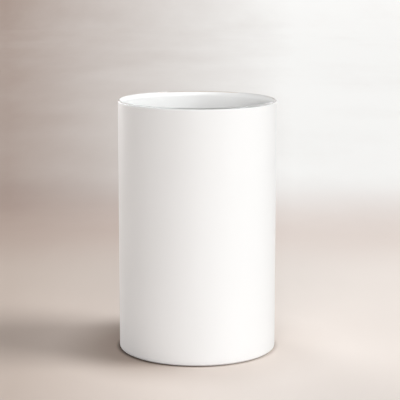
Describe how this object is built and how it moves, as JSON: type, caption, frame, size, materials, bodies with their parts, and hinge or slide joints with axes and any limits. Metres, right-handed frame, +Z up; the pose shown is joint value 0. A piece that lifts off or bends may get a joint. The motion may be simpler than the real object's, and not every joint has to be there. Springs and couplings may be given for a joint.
{
  "type": "cylinder vase",
  "caption": "Straight-sided opaque white glass cylinder vase for cut flowers, open at the top, standing on a narrow bare foot ring.",
  "frame": {"origin": "centre of the foot ring, in the plane of the table that the vase stands on", "axes": "+Z up along the vase's axis and out of its mouth; X and Y are any two level directions, because the vase is round"},
  "size_m": [0.127, 0.127, 0.203],
  "materials": {
    "clear_glass": "polished",
    "white_lacquer": "satin"
  },
  "bodies": {
    "root": {"glass_body": "clear_glass", "wall_coat": "white_lacquer", "base_coat": "white_lacquer"}
  },
  "joints": []
}
